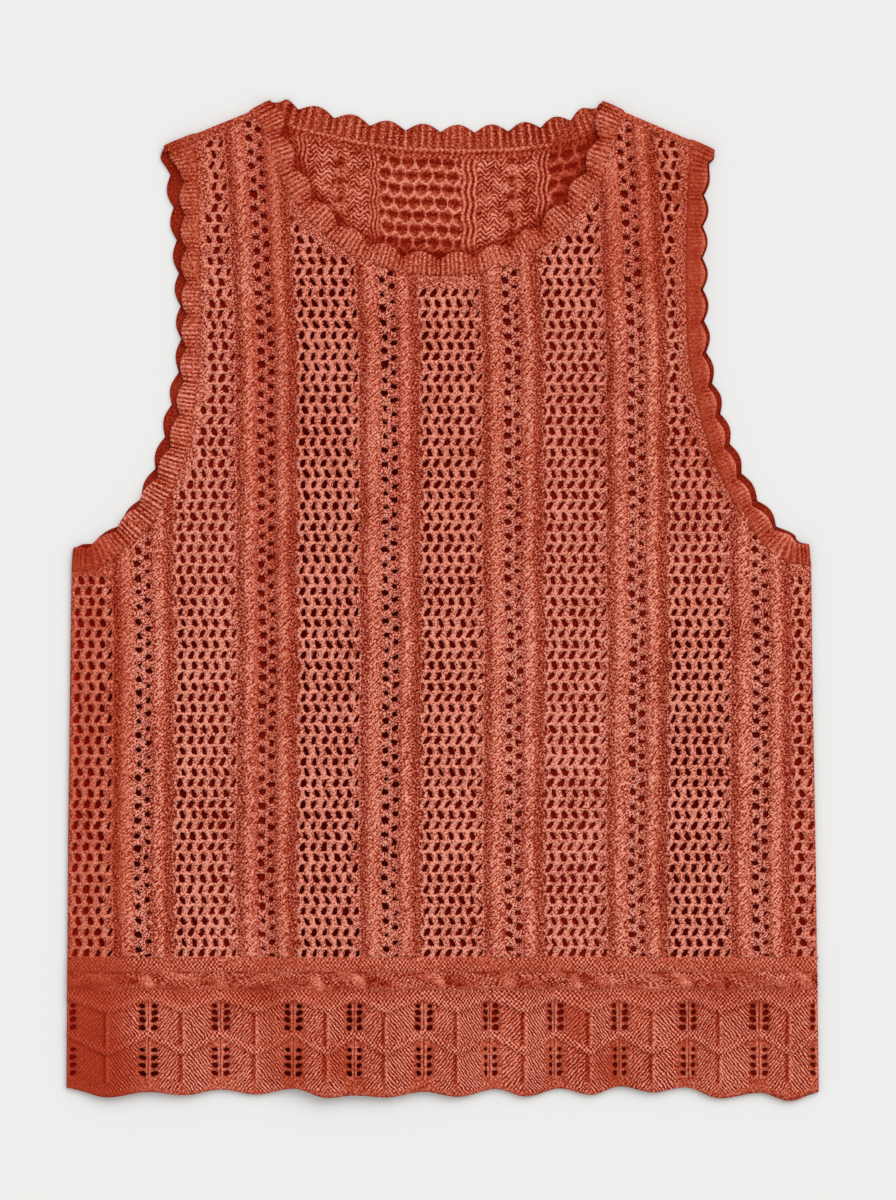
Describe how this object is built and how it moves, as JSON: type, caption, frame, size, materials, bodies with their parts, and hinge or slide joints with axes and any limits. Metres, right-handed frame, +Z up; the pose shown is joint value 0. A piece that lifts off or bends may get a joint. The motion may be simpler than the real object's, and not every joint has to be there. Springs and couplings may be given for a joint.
{
  "type": "sleeveless lace-knit top",
  "caption": "Sleeveless knitted top laid flat: lace stripes and ribs down its front and back, a leaf-lace hem, and scalloped rib bands round the neck and armholes.",
  "frame": {"origin": "middle of the laid-out top's bounding box, on the surface that it lies on", "axes": "+Y from the hem to the neck, +Z up off the surface through the back and then the front, +X across to the viewer's right, which is the wearer's left side"},
  "size_m": [0.4389, 0.5842, 0.0082],
  "materials": {
    "front_panel": "soft cotton knit in terracotta",
    "back_panel": "soft cotton knit in terracotta",
    "neck_band": "soft cotton rib knit in terracotta",
    "arm_band_left": "soft cotton rib knit in terracotta",
    "arm_band_right": "soft cotton rib knit in terracotta"
  },
  "bodies": {
    "root": {"front_panel": "front_panel", "back_panel": "back_panel", "neck_band": "neck_band", "arm_band_left": "arm_band_left", "arm_band_right": "arm_band_right"}
  },
  "joints": []
}
